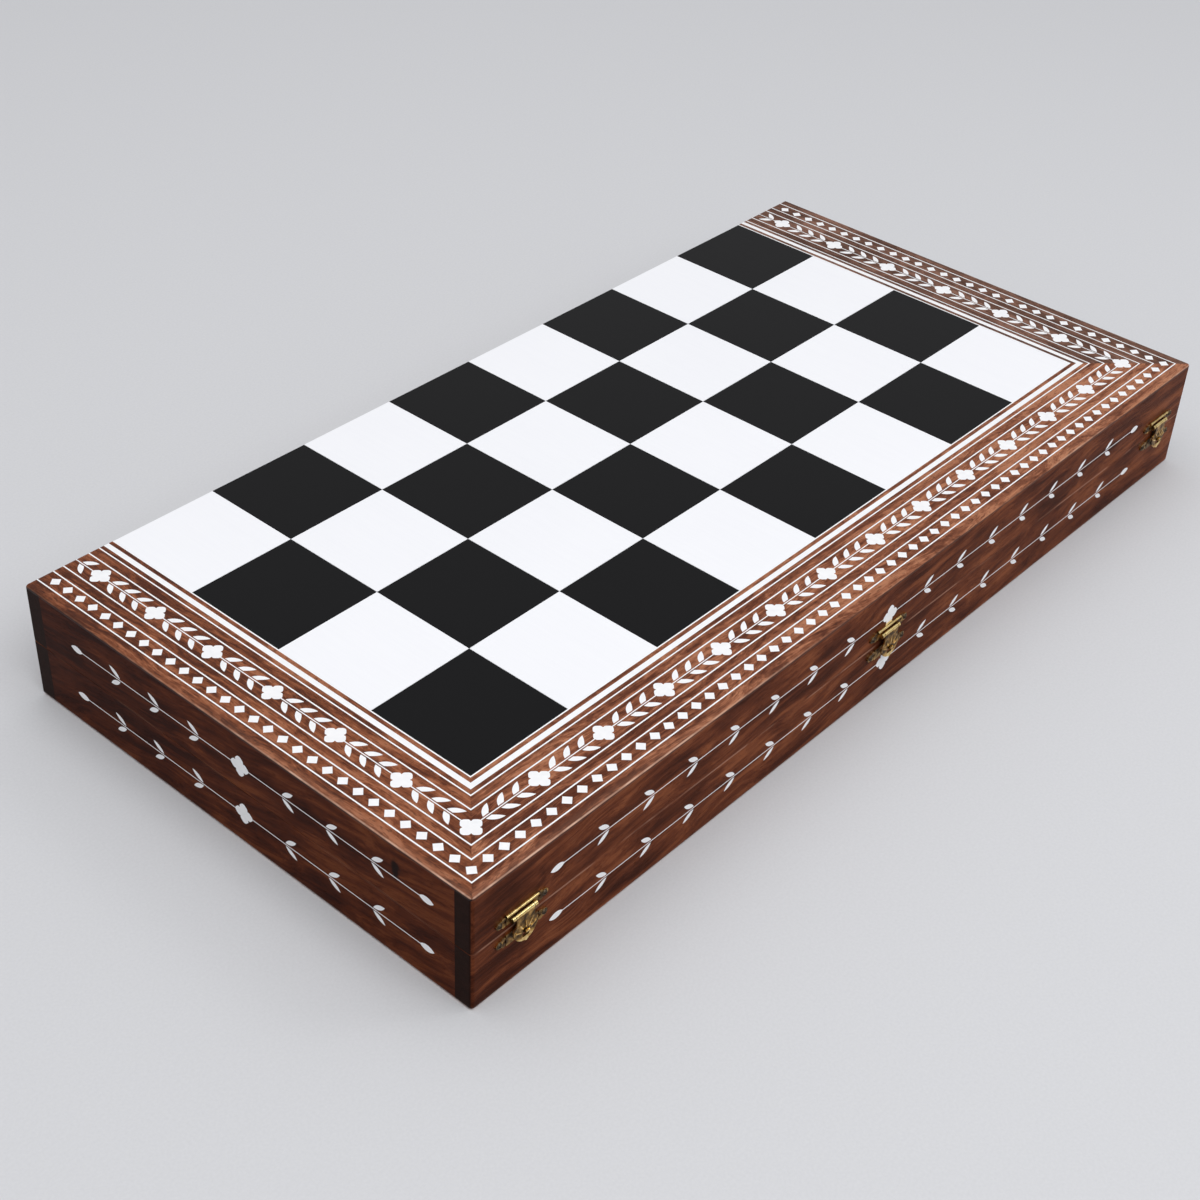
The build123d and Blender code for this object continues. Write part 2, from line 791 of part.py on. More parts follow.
def make_hasps():
    """Swinging hasps: a barrel on the pin and a shield-shaped tongue with a slot."""
    neck_out = latch_pin_standoff + latch_barrel_radius - hasp_thickness / 2
    tail_start = hasp_tip_height + hasp_tail
    slot_middle = hook_height - hook_thickness
    fan_start = 90 - rib_fan / 2
    with BuildPart() as hasp:
        with BuildSketch(latch_section()):
            with BuildLine():
                FilletPolyline(
                    (neck_out, latch_pin_height),
                    (neck_out, tail_start),
                    (neck_out + hasp_flare, hasp_tip_height),
                    radius=hasp_tail,
                )
            trace(line_width=hasp_thickness)
        extrude(amount=hasp_shoulder_width, both=True)
        extrude(hasp_outline(), amount=2 * hook_reach, mode=Mode.INTERSECT)
        with BuildSketch(latch_section()):
            with Locations((latch_pin_standoff, latch_pin_height)):
                Circle(latch_barrel_radius)
        extrude(amount=latch_barrel_length / 2, both=True)
        with BuildSketch(latch_section()):
            with Locations((latch_pin_standoff, latch_pin_height)):
                Circle(latch_pin_radius + pin_clearance)
        extrude(amount=latch_barrel_length, both=True, mode=Mode.SUBTRACT)
        with BuildSketch(latch_front) as slot:
            with Locations((0, slot_middle)):
                Rectangle(slot_width, slot_height)
            fillet(slot.vertices(), slot_corner)
        extrude(amount=2 * hook_reach, mode=Mode.SUBTRACT)
        with BuildSketch(latch_front.offset(neck_out)):
            with Locations((0, slot_middle)):
                with PolarLocations(rib_start + rib_length / 2, rib_count, fan_start, rib_fan, endpoint=True):
                    SlotOverall(rib_length, rib_width)
        extrude(amount=hasp_thickness / 2 + rib_rise)
    save_latch_piece(hasp.part, "hasp")


def make_latch_pins():
    """Wire pins through the hasps' barrels and the outer knuckles."""
    length = latch_barrel_length + 2 * latch_knuckle_gap + 2 * latch_knuckle_length
    with BuildPart() as pin:
        with BuildSketch(latch_section()):
            with Locations((latch_pin_standoff, latch_pin_height)):
                Circle(latch_pin_radius)
        extrude(amount=length / 2, both=True)
    save_latch_piece(pin.part, "pin")


def make_latch_screws(tray, ear_height):
    """Round-head screws in the ears of the latch plates."""
    with BuildPart() as screw:
        with BuildSketch(Plane.XZ):
            with BuildLine():
                Line((0, 0), (0, latch_screw_head_height))
                TangentArc((0, latch_screw_head_height), (latch_screw_head_radius, 0), tangent=(1, 0))
                Polyline(
                    (latch_screw_head_radius, 0),
                    (latch_screw_radius, 0),
                    (latch_screw_radius, -latch_screw_length / 2),
                    (0, -latch_screw_length - plate_thickness),
                    (0, 0),
                )
            make_face()
        revolve(axis=Axis.Z)
        with BuildSketch(Plane.XY.offset(latch_screw_head_height)):
            Rectangle(2 * latch_screw_head_radius, screw_slot)
        extrude(amount=-screw_slot, mode=Mode.SUBTRACT)
    points = [(x + turn * ear_reach, ear_height) for x in latch_spots.values() for turn in (-1, 1)]
    with BuildPart() as screws:
        with Locations(latch_front.offset(plate_thickness)):
            with Locations(*points):
                add(screw.part)
    save(screws.part, f"{tray.name}_latch_screws")


# ---- the box -------------------------------------------------------------------------
form = tray_form()
inlay_sketches = {
    "lines": string_sketch(),
    "band": band_sketch(),
    "diamonds": diamond_sketch(),
    "flowers": flower_sketch(),
    "vine": vine_sketch(),
}
inlay_faces = [face for sketch in inlay_sketches.values() for face in sketch.faces()]

make_front_rail(base, form, lower_ear_height)
make_front_rail(lid, form, upper_ear_height)
make_back_rail(form)
make_end_rail(form, "left")
make_end_rail(form, "right")
make_panel()
make_lining()
for side in sides:
    make_plank(form, side, inlay_faces)
make_squares("dark", 1)
make_squares("light", 0)
for title, sketch in inlay_sketches.items():
    make_inlay(title, sketch)
for tray in trays:
    make_wall_vines(tray)

make_hinge_leaves(base, range(0, hinge_knuckles, 2))
make_hinge_leaves(lid, range(1, hinge_knuckles, 2))
make_hinge_pins()
make_hinge_screws()

make_upper_plates()
make_lower_plates()
make_hasps()
make_latch_pins()
make_latch_screws(lid, upper_ear_height)
make_latch_screws(base, lower_ear_height)
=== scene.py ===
"""Look of the folding chess box: materials, felt linings, floor, light and camera.

In the names below, a SPAN is the pair of values between which an effect grows or fades, and
SHARES are the least and the most of it.
"""

import math
from collections import namedtuple
from itertools import product

import bpy
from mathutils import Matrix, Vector


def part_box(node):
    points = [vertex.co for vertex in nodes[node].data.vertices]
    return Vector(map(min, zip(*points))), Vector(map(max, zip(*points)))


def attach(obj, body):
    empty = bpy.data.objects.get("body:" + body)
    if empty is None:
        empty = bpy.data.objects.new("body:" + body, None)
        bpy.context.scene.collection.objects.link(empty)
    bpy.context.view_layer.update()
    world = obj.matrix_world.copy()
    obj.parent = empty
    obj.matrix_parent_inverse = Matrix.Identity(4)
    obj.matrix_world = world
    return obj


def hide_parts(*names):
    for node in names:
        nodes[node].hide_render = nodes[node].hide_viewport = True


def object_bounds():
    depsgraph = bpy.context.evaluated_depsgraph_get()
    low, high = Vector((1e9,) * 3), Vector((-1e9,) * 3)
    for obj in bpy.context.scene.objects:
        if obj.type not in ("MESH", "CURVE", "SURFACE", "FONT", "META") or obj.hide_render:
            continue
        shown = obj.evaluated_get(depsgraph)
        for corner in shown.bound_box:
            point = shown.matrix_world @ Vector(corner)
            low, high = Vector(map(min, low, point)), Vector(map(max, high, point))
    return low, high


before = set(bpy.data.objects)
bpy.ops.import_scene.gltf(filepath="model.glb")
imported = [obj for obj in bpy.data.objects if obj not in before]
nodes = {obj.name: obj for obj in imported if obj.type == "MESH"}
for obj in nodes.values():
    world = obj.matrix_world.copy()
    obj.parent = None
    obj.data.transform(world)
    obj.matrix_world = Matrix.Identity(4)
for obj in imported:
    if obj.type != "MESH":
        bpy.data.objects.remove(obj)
cad_low, cad_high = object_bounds()

MM = 0.001

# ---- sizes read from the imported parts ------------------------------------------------
plank_low, plank_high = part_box("lid_border_left")
front_low, front_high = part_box("lid_border_front")
rail_low, rail_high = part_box("base_front_rail")
HALF_LENGTH = -plank_low.x
FRONT = front_low.y
FOLD = plank_high.y
FIELD_HALF = -plank_high.x
FIELD_FRONT = front_high.y
RAIL_THICKNESS = rail_high.y - rail_low.y
TOP = cad_high.z
PARTING = TOP / 2


# ---- colours -------------------------------------------------------------------------
def rgb(red, green, blue):
    """Colour as it is seen on screen, turned into the linear values that shaders take."""

    def linear(value):
        value /= 255
        return value / 12.92 if value <= 0.04045 else ((value + 0.055) / 1.055) ** 2.4

    return (linear(red), linear(green), linear(blue))


def dimmed(colour, share):
    return tuple(value * share for value in colour)


# Four shades of each plank, from dark to pale, and where they lie on the way.
SHADE_STOPS = (0.0, 0.34, 0.66, 1.0)
shades = {
    "border": {
        "left": (rgb(78, 38, 22), rgb(112, 61, 37), rgb(134, 77, 49), rgb(160, 102, 72)),
        "front": (rgb(86, 42, 24), rgb(122, 70, 46), rgb(144, 88, 61), rgb(176, 118, 86)),
        "right": (rgb(76, 48, 36), rgb(99, 67, 52), rgb(112, 77, 62), rgb(136, 98, 81)),
    },
    "rail": {
        "front": (rgb(58, 24, 11), rgb(88, 43, 24), rgb(106, 55, 32), rgb(136, 78, 48)),
        "back": (rgb(54, 22, 11), rgb(86, 43, 25), rgb(104, 55, 32), rgb(132, 75, 46)),
        "left": (rgb(44, 14, 6), rgb(67, 27, 11), rgb(83, 37, 17), rgb(108, 56, 29)),
        "right": (rgb(42, 14, 6), rgb(66, 27, 13), rgb(80, 36, 18), rgb(104, 54, 30)),
    },
}
PORE_DIMMING = 0.35                # of the darkest shade, as in the next line, which dims the mitre glue line and the painted shade under the arris
SEAM_AND_SHADOW_DIMMING = 0.5
# pale colour of the arris: wear and painted highlight
ARRIS_WEAR_AND_HIGHLIGHT = rgb(218, 178, 154)
# pale colour at the parting line: lighter wood and painted highlight
RIM_WEAR_AND_HIGHLIGHT = rgb(170, 128, 108)
KNOT = rgb(24, 12, 9)
END_GRAIN = (rgb(22, 8, 4), rgb(42, 20, 13))
PANEL = (rgb(74, 46, 30), rgb(112, 74, 50))
BLACK_SQUARE = (rgb(4, 4, 6), rgb(8, 8, 10))
WHITE_SQUARE = (rgb(240, 241, 246), rgb(249, 250, 253))
INLAY = (rgb(236, 237, 240), rgb(252, 252, 253))
BRASS = (rgb(255, 230, 162), rgb(200, 155, 84), rgb(62, 42, 18))    # bright, dull, brown
STEEL = (rgb(34, 28, 22), rgb(112, 98, 80))
FELT = (rgb(20, 52, 34), rgb(58, 104, 74))
FLOOR = (rgb(206, 207, 210), rgb(216, 217, 220))
HORIZON = (0.34, 0.34, 0.345, 1.0)
ZENITH = (0.66, 0.66, 0.67, 1.0)

# ---- figure of the wood --------------------------------------------------------------
trays = ("base", "lid")
LONG_SIDES = ("front", "back")

# How far the grain leans within a plank's face, as a turn about x, y and z in radians.
grain_lean = {
    "border": {"left": (0, 0, -0.02), "front": (0, 0, 0.03), "right": (0, 0, 0.02)},
    "rail": {
        "front": (0, 0.07, 0),
        "back": (0, -0.05, 0),
        "left": (0.16, 0, 0),
        "right": (-0.12, 0, 0),
    },
}

# Each plank has a seed, which moves the noise by so many steps along x, y and z.
FIRST_SEED = {"border": 1, "rail": 10}
SEED_STEP = (0.37, 0.53, 0.29)
seeds = {}
for part, first_seed in FIRST_SEED.items():
    for rank, (tray, side) in enumerate(product(trays, shades[part])):
        seeds[part, tray, side] = first_seed + rank

# Layers of the figure, from broad patches to single fibres: the length of a feature along
# and across the grain in mm, and the settings of its noise.
Layer = namedtuple("Layer", "run cross detail roughness distortion")
figure_layers = (
    Layer(34, 11, 2, 0.5, 0.5),
    Layer(110, 5.0, 3, 0.6, 0.0),
    Layer(48, 1.5, 3, 0.65, 0.0),
    Layer(4.5, 2.0, 3, 0.6, 0.0),
    Layer(8, 0.45, 2, 0.6, 0.0),
)
BEND_SIZE = (75, 30)               # slow bends of the grain, along and across it in mm
BEND_AMOUNT = 22 * MM
PORE_SIZE = (3.2, 0.38)
PORE_SPAN = (0.58, 0.68)

# What a kind of plank takes from the layers: a weight for each, the sums that get the
# darkest and the palest shade, how much the pores show, and the gloss.
Figure = namedtuple("Figure", "weights tones pores gloss")
figures = {
    "border": Figure((0.40, 0.42, 0.46, 0.34, 0.30), (0.80, 1.12), 0.55, 0.15),
    "rail": Figure((0.50, 0.56, 0.32, 0.10, 0.20), (0.63, 1.06), 0.30, 0.03),
}

# Slow change of tone along a plank: axis, start, end, and the tone added at each.
tone_drifts = {
    ("border", "front"): (0, -HALF_LENGTH, HALF_LENGTH, -0.035, 0.035),
    ("border", "left"): (1, 0.0, FOLD, 0.0, -0.04),
    ("rail", "front"): (0, -HALF_LENGTH, -HALF_LENGTH + 45 * MM, -0.08, 0.0),
    ("rail", "left"): (1, FRONT, FOLD, 0.06, -0.08),
}

# ---- wear, painted highlight and shade, seams and knot -------------------------------
ARRIS_SPAN = (-0.6 * MM, -0.3 * MM)          # pale line of wear and painted highlight, from the border's outer edge
ARRIS_RAGGED_SPAN = (0.35, 0.65)
ARRIS_SHARES = (0.45, 1.0)
MARGIN_SPAN = (-4.0 * MM, -0.8 * MM)         # faint paler band inside the line
MARGIN_SHARE = 0.05
HANDLED_SPAN = (60 * MM, 220 * MM)           # from the corner by the left latch
RUBBED_SPAN = (0.5, 0.62)
RUBBED_SHARES = (0.1, 0.6)
UPRIGHT_SPAN = (0.2, 0.5)                    # of a normal's z, from a plank's edge to its top
# painted shade under the arris, at the top of a plank's edge
UNDER_ARRIS_SHADOW_SPAN = (TOP - 2.2 * MM, TOP - 0.8 * MM)
UNDER_ARRIS_SHADOW_SHARE = 0.55
END_BLUR = 0.1 * MM
END_GRAIN_SPAN = (0.75, 0.95)                # of a normal's x
MITRE_SPAN = (0.05 * MM, 0.25 * MM)
MITRE_SHARE = 0.22
RIM_SPAN = (0.2 * MM, 0.6 * MM)              # from the parting line
RIM_BROKEN_SPAN = (0.42, 0.62)
RIM_BROKEN_SHARES = (0.1, 0.8)
# how strongly the pale rim shows on each side, strongest where the painted highlight faces the
# light
rim_wear_and_highlight_shares = {"front": 0.9, "back": 0.5, "left": 0.22, "right": 0.4}
KNOT_PLACE = (FRONT + 36.0 * MM, PARTING + 15.5 * MM)    # y and z
KNOT_RADII = (2.6 * MM, 5.5 * MM)
KNOT_SPAN = (0.9, 1.55)
KNOT_SHARE = 0.95

# ---- tarnish, painted shade and painted highlight on the brass -----------------------
FACING_DOWN_SHADE_SPAN = (-0.1, 0.5)                 # of a normal's z: painted shade on faces that turn sideways or down
RAISED_HIGHLIGHT_SPAN = (2.53 * MM, 2.65 * MM)         # out from the box's front: painted highlight and rubbing on the parts that stand furthest out
TARNISH_AND_PAINTED_LIGHT_SPAN = (0.28, 0.78)

# ---- felt ----------------------------------------------------------------------------
FELT_CELL = 4.0 * MM
FELT_SAG = 0.12 * MM               # most that the pile lies below its full height
FELT_EDGE = 0.35 * MM              # the same at the cut, where it is pressed down

# ---- floor, lamps and camera ---------------------------------------------------------
FLOOR_HALF = 6.0
FLOOR_DROP = 0.1 * MM              # below the box, so that the two faces don't coincide
lamps = {                          # place, target, size, power
    "key": ((-0.35, -1.25, 1.7), (0, 0, 0), (1.4, 1.4), 15),
    "overhead": ((-0.2, 0.3, 1.9), (0, 0, 0), (1.8, 1.8), 9),
    "glint": ((0.95, -1.0, 1.35), (0, -0.1, 0), (0.45, 0.45), 2.5),
}
CAMERA_PLACE = (-0.559409, -0.432302, 0.513394)
CAMERA_TURN = (52.84366, -2.31681, -48.42501)    # degrees
CAMERA_LENS = 58.889
CAMERA_SENSOR = 36.0
CAMERA_NEAREST = 0.01


# ---- shader building -----------------------------------------------------------------
class Shader:
    """Small helper that adds and links the nodes of one material."""

    def __init__(self, name):
        self.material = bpy.data.materials.new(name)
        self.material.use_nodes = True
        self.tree = self.material.node_tree
        self.surface = self.tree.nodes["Principled BSDF"]
        coords = self.node("ShaderNodeTexCoord")
        self.place = coords.outputs["Object"]
        self.x, self.y, self.z = self.axes(self.place)
        self.normal = self.axes(coords.outputs["Normal"])

    def node(self, kind, **settings):
        made = self.tree.nodes.new(kind)
        for key, value in settings.items():
            setattr(made, key, value)
        return made

    def put(self, socket, value):
        """Set a socket to a number or colour, or link it to another node's output."""
        if isinstance(value, bpy.types.NodeSocket):
            self.tree.links.new(value, socket)
        else:
            socket.default_value = value

    def axes(self, vector):
        split = self.node("ShaderNodeSeparateXYZ")
        self.put(split.inputs[0], vector)
        return split.outputs

    def math(self, operation, a, b=0.0):
        made = self.node("ShaderNodeMath", operation=operation)
        self.put(made.inputs[0], a)
        self.put(made.inputs[1], b)
        return made.outputs[0]

    def blend(self, *terms):
        """Sum of (value, weight) pairs."""
        total = 0.0
        for value, weight in terms:
            total = self.math("ADD", total, self.math("MULTIPLY", value, weight))
        return total

    def varied(self, base, value, weight):
        """A number, and what a varying value adds to it."""
        return self.math("ADD", base, self.math("MULTIPLY", value, weight))

    def span(self, value, low, high, to_low=0.0, to_high=1.0):
        """Smooth step of a value between two limits."""
        made = self.node("ShaderNodeMapRange", interpolation_type="SMOOTHSTEP")
        self.put(made.inputs["Value"], value)
        self.put(made.inputs["From Min"], low)
        self.put(made.inputs["From Max"], high)
        self.put(made.inputs["To Min"], to_low)
        self.put(made.inputs["To Max"], to_high)
        return made.outputs["Result"]

    def stretched(self, scale, rotation=(0, 0, 0), shift=(0, 0, 0), source=None):
        """Object coordinates turned and shifted, then scaled per axis."""
        turned = self.node("ShaderNodeMapping")
        self.put(turned.inputs["Vector"], source or self.place)
        turned.inputs["Location"].default_value = shift
        turned.inputs["Rotation"].default_value = rotation
        scaled = self.node("ShaderNodeVectorMath", operation="MULTIPLY")
        self.put(scaled.inputs[0], turned.outputs[0])
        scaled.inputs[1].default_value = scale
        return scaled.outputs[0]

    def drifted(self, amount, direction):
        """Object coordinates moved by a varying amount along a direction."""
        step = self.node("ShaderNodeVectorMath", operation="SCALE")
        step.inputs[0].default_value = direction
        self.put(step.inputs["Scale"], amount)
        moved = self.node("ShaderNodeVectorMath", operation="ADD")
        self.put(moved.inputs[0], self.place)
        self.put(moved.inputs[1], step.outputs[0])
        return moved.outputs[0]

    def noise(self, vector, detail, roughness=0.5, distortion=0.0):
        made = self.node("ShaderNodeTexNoise")
        self.put(made.inputs["Vector"], vector)
        made.inputs["Scale"].default_value = 1.0
        made.inputs["Detail"].default_value = detail
        made.inputs["Roughness"].default_value = roughness
        made.inputs["Distortion"].default_value = distortion
        return made.outputs["Fac"]

    def speckle(self, per_metre, detail=3, roughness=0.5, shift=(0, 0, 0)):
        """Noise that is alike in every direction, with so many features to the metre."""
        return self.noise(self.stretched((per_metre,) * 3, shift=shift), detail, roughness)

    def ramp(self, value, stops):
        made = self.node("ShaderNodeValToRGB")
        self.put(made.inputs["Fac"], value)
        elements = made.color_ramp.elements
        while len(elements) < len(stops):
            elements.new(0.5)
        for element, (position, colour) in zip(elements, stops):
            element.position = position
            element.color = (*colour, 1.0)
        return made.outputs["Color"]

    def mix(self, share, a, b):
        made = self.node("ShaderNodeMix", data_type="RGBA")
        factor, first, second = made.inputs[0], made.inputs[6], made.inputs[7]
        self.put(factor, share)
        for socket, value in ((first, a), (second, b)):
            self.put(socket, (*value, 1.0) if isinstance(value, tuple) else value)
        return made.outputs[2]

    def bump(self, height, strength, distance):
        made = self.node("ShaderNodeBump")
        self.put(made.inputs["Height"], height)
        made.inputs["Strength"].default_value = strength
        made.inputs["Distance"].default_value = distance
        self.put(self.surface.inputs["Normal"], made.outputs["Normal"])

    def finish(self, **sockets):
        for name, value in sockets.items():
            self.put(self.surface.inputs[name.replace("_", " ")], value)
        return self.material


# ---- wood ----------------------------------------------------------------------------
def rosewood(s, part, tray, side):
    """Colour, pores and fibre of open-pored rosewood; part is border or rail."""
    figure = figures[part]
    palette = shades[part][side]
    shift = tuple(seeds[part, tray, side] * step for step in SEED_STEP)
    run_axis = 0 if side in LONG_SIDES else 1
    across = tuple(float(axis != run_axis) for axis in range(3))

    def grain(run, cross, source=None):
        """Noise space with features of the given lengths in mm along and across the grain."""
        scale = [1 / (cross * MM)] * 3
        scale[run_axis] = 1 / (run * MM)
        return s.stretched(tuple(scale), grain_lean[part][side], shift, source)

    bend = s.math("SUBTRACT", s.noise(grain(*BEND_SIZE), detail=2), 0.5)
    flow = s.drifted(s.math("MULTIPLY", bend, BEND_AMOUNT), across)
    layers = []
    for layer in figure_layers:
        space = grain(layer.run, layer.cross, flow)
        layers.append(s.noise(space, layer.detail, layer.roughness, layer.distortion))
    fibre = layers[-1]
    pores = s.span(s.noise(grain(*PORE_SIZE, flow), detail=1), *PORE_SPAN)

    tone = s.blend(*zip(layers, figure.weights))
    if (part, side) in tone_drifts:
        axis, *drift = tone_drifts[part, side]
        tone = s.math("ADD", tone, s.span((s.x, s.y)[axis], *drift))
    colour = s.ramp(s.span(tone, *figure.tones), list(zip(SHADE_STOPS, palette)))
    pore_share = s.math("MULTIPLY", pores, figure.pores)
    return s.mix(pore_share, colour, dimmed(palette[0], PORE_DIMMING)), pores, fibre


def finish_wood(s, part, colour, pores, fibre):
    """Oiled surface: pores sunk in, fibres just felt."""
    s.bump(s.blend((fibre, 0.5), (pores, -1.0)), strength=0.3, distance=0.08 * MM)
    rough = s.math("ADD", s.blend((fibre, 0.18), (pores, 0.1)), 0.34)
    return s.finish(Base_Color=colour, Roughness=rough, Specular_IOR_Level=figures[part].gloss)


def end_grain(s, colour, mask):
    """Nearly black end grain where the mask is 1."""
    rings = s.noise(s.stretched((420, 300, 520)), detail=3)
    return s.mix(mask, colour, s.mix(rings, *END_GRAIN))


def arris_wear_and_highlight(s, seed):
    """Share of pale colour along a border's outer edge: wear where hands have rubbed it, and a
    painted highlight on the rounded arris.
    """
    past_end = s.math("SUBTRACT", s.math("ABSOLUTE", s.x), HALF_LENGTH)
    past_front = s.math("SUBTRACT", FRONT, s.y)
    reach = s.math("MAXIMUM", past_end, past_front)
    ragged = s.span(s.speckle(140), *ARRIS_RAGGED_SPAN, *ARRIS_SHARES)
    line = s.math("MULTIPLY", s.span(reach, *ARRIS_SPAN), ragged)
    margin = s.span(reach, *MARGIN_SPAN, 0.0, MARGIN_SHARE)

    from_end = s.math("ADD", s.x, HALF_LENGTH)
    from_front = s.math("SUBTRACT", s.y, FRONT)
    near_corner = s.span(s.math("ADD", from_end, from_front), *HANDLED_SPAN, 1.0, 0.0)
    rubbed = s.speckle(14, detail=2, shift=(seed, 0, 0))
    handled = s.math("MAXIMUM", near_corner, s.span(rubbed, *RUBBED_SPAN, *RUBBED_SHARES))
    return s.math("MULTIPLY", s.math("MAXIMUM", margin, line), handled)


def border_edge(s, tray, side):
    """Colour of a border's edge, which carries on the wall below, with painted shade under the
    arris at the top.
    """
    wall, _, _ = rosewood(s, "rail", tray, side)
    # painted shade under the arris
    under_arris_shadow = s.span(s.z, *UNDER_ARRIS_SHADOW_SPAN, 0.0, UNDER_ARRIS_SHADOW_SHARE)
    wall = s.mix(under_arris_shadow, wall, dimmed(shades["rail"][side][0], SEAM_AND_SHADOW_DIMMING))
    if side in LONG_SIDES:
        return wall
    from_front = s.math("SUBTRACT", s.y, FRONT + RAIL_THICKNESS)
    from_fold = s.math("SUBTRACT", FOLD - RAIL_THICKNESS, s.y)
    near_front = s.span(from_front, -END_BLUR, END_BLUR, 1.0, 0.0)
    near_fold = s.span(from_fold, -END_BLUR, END_BLUR, 1.0, 0.0)
    return end_grain(s, wall, s.math("MAXIMUM", near_front, near_fold))


def mitre_line(s):
    """Share of the dark glue line where two border planks meet."""
    beside_field = s.math("SUBTRACT", s.math("ABSOLUTE", s.x), FIELD_HALF)
    before_field = s.math("SUBTRACT", FIELD_FRONT, s.y)
    apart = s.math("ABSOLUTE", s.math("SUBTRACT", beside_field, before_field))
    return s.span(apart, *MITRE_SPAN, MITRE_SHARE, 0.0)


def border_wood(tray, side):
    """Plank around the squares."""
    s = Shader(f"{tray} border {side}")
    colour, pores, fibre = rosewood(s, "border", tray, side)
    # pale arris: wear, and a painted highlight on the rounded edge
    colour = s.mix(arris_wear_and_highlight(s, seeds["border", tray, side]), colour, ARRIS_WEAR_AND_HIGHLIGHT)
    upright = s.span(s.math("ABSOLUTE", s.normal[2]), *UPRIGHT_SPAN, 1.0, 0.0)
    colour = s.mix(upright, colour, border_edge(s, tray, side))
    colour = s.mix(mitre_line(s), colour, dimmed(shades["border"][side][0], SEAM_AND_SHADOW_DIMMING))
    return finish_wood(s, "border", colour, pores, fibre)


def rim_wear_and_highlight(s, side):
    """Share of pale colour on a rail's faces beside the parting line: lighter wood at the broken
    edge, and a painted highlight where the edge catches the light.
    """
    from_parting = s.math("ABSOLUTE", s.math("SUBTRACT", s.z, PARTING))
    near = s.span(from_parting, *RIM_SPAN, 1.0, 0.0)
    broken = s.span(s.speckle(45, detail=2), *RIM_BROKEN_SPAN, *RIM_BROKEN_SHARES)
    outwards = s.math("ABSOLUTE", s.normal[1 if side in LONG_SIDES else 0])
    rim = s.math("MULTIPLY", s.math("MULTIPLY", near, broken), rim_wear_and_highlight_shares[side])
    return s.math("MULTIPLY", rim, outwards)


def knot_mask(s):
    """Share of a small dark pin knot near the front of the lid's left end."""
    knot_y, knot_z = KNOT_PLACE
    radius_y, radius_z = KNOT_RADII
    dy = s.math("DIVIDE", s.math("SUBTRACT", s.y, knot_y), radius_y)
    dz = s.math("DIVIDE", s.math("SUBTRACT", s.z, knot_z), radius_z)
    far = s.math("SQRT", s.math("ADD", s.math("MULTIPLY", dy, dy), s.math("MULTIPLY", dz, dz)))
    ragged = s.blend((far, 1.0), (s.speckle(400), 0.9))
    return s.span(ragged, *KNOT_SPAN, KNOT_SHARE, 0.0)


def rail_wood(tray, side):
    """Wall of a tray: darker than the borders, with end grain at the front and back."""
    s = Shader(f"{tray} rail {side}")
    colour, pores, fibre = rosewood(s, "rail", tray, side)
    # pale rim at the parting line: lighter wood and painted highlight
    colour = s.mix(rim_wear_and_highlight(s, side), colour, RIM_WEAR_AND_HIGHLIGHT)
    if side in LONG_SIDES:
        at_end = s.span(s.math("ABSOLUTE", s.normal[0]), *END_GRAIN_SPAN)
        colour = end_grain(s, colour, at_end)
    if (tray, side) == ("lid", "left"):
        colour = s.mix(knot_mask(s), colour, KNOT)
    return finish_wood(s, "rail", colour, pores, fibre)


# ---- squares, inlay, metal, felt -----------------------------------------------------
def lacquer(name, colours, rough, gloss):
    """Lacquered square: faint brush marks and slow changes of tone."""
    s = Shader(name)
    brush = s.noise(s.stretched((1300, 26, 200)), detail=3, roughness=0.6)
    cloud = s.speckle(16, detail=2)
    colour = s.mix(s.blend((brush, 0.55), (cloud, 0.45)), *colours)
    s.bump(brush, strength=0.1, distance=0.03 * MM)
    roughness = s.varied(rough, brush, 0.1)
    return s.finish(Base_Color=colour, Roughness=roughness, Specular_IOR_Level=gloss)


def speckled(name, per_metre, colours, rough, relief=None, **sockets):
    """Plain material that varies with one noise.

    rough is the least roughness and what the noise adds to it, and relief the strength and
    depth of the bumps.
    """
    s = Shader(name)
    speck = s.speckle(per_metre)
    if relief:
        s.bump(speck, *relief)
    least, added = rough
    roughness = s.varied(least, speck, added)
    return s.finish(Base_Color=s.mix(speck, *colours), Roughness=roughness, **sockets)


def panel_material():
    """Stained plywood panel under the squares."""
    s = Shader("panel wood")
    grain = s.noise(s.stretched((9, 260, 260)), detail=4)
    s.bump(grain, strength=0.2, distance=0.06 * MM)
    colour = s.ramp(grain, list(zip((0.3, 0.7), PANEL)))
    return s.finish(Base_Color=colour, Roughness=s.varied(0.55, grain, 0.15))


def brass_material():
    """Stamped brass: brown tarnish in patches, painted shade on faces that turn sideways or
    down, and a painted highlight with rubbing on the parts that stand furthest out.
    """
    s = Shader("stamped brass")
    patch = s.speckle(400, roughness=0.55)
    # painted shade on faces that turn sideways or down, painted highlight on the parts furthest
    # out
    facing_down_shade = s.span(s.normal[2], *FACING_DOWN_SHADE_SPAN, 1.0, 0.0)
    raised_highlight = s.span(s.math("SUBTRACT", FRONT, s.y), *RAISED_HIGHLIGHT_SPAN)
    tarnish_and_painted_light_sum = s.blend((patch, 0.7), (facing_down_shade, 0.34), (raised_highlight, -0.16))
    tarnish_and_painted_light = s.span(tarnish_and_painted_light_sum, *TARNISH_AND_PAINTED_LIGHT_SPAN)
    colour = s.ramp(tarnish_and_painted_light, list(zip((0.0, 0.5, 1.0), BRASS)))
    s.bump(s.speckle(600, detail=2), strength=0.35, distance=0.12 * MM)
    return s.finish(Base_Color=colour, Metallic=1.0, Roughness=s.varied(0.17, tarnish_and_painted_light, 0.3))


